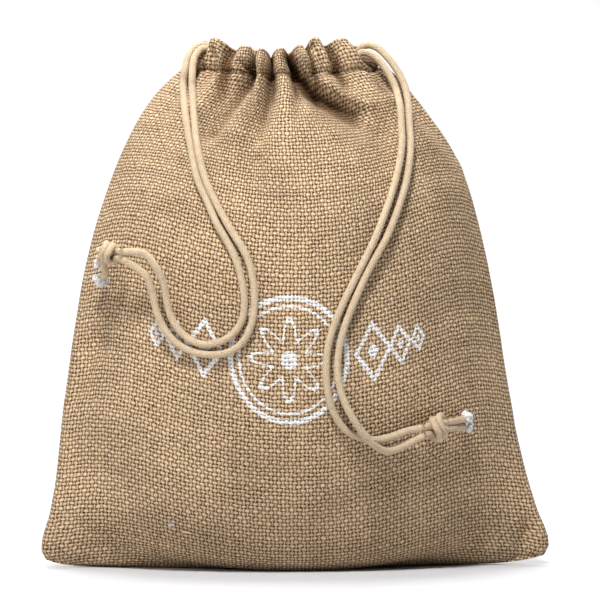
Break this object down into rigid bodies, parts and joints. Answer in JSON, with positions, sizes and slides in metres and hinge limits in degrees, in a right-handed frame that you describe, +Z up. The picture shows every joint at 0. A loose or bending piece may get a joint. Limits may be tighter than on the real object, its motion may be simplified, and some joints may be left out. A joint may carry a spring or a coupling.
{
  "type": "jute drawstring bag",
  "caption": "Hollow woven bag standing on its folded base, its mouth drawn shut by doubled cords that hang down the front to a knot on each side.",
  "frame": {"origin": "on the floor, at the middle of the bottom fold that the bag stands on", "axes": "+Z up, -Y out of the front that the cords hang down, +X to the right as seen from the front"},
  "size_m": [0.245, 0.1299, 0.2522],
  "materials": {
    "jute": "coarse natural plain weave",
    "cotton_cord": "unbleached braided cotton",
    "frayed_cotton": "loose white cotton fibre"
  },
  "bodies": {
    "root": {"bag_cloth": "jute", "cord_left_outer": "cotton_cord", "cord_left_inner": "cotton_cord", "cord_right_outer": "cotton_cord", "cord_right_inner": "cotton_cord", "knot_left": "cotton_cord", "knot_right": "cotton_cord", "tail_left_a": "frayed_cotton", "tail_left_b": "frayed_cotton", "tail_right_a": "frayed_cotton", "tail_right_b": "frayed_cotton"}
  },
  "joints": []
}
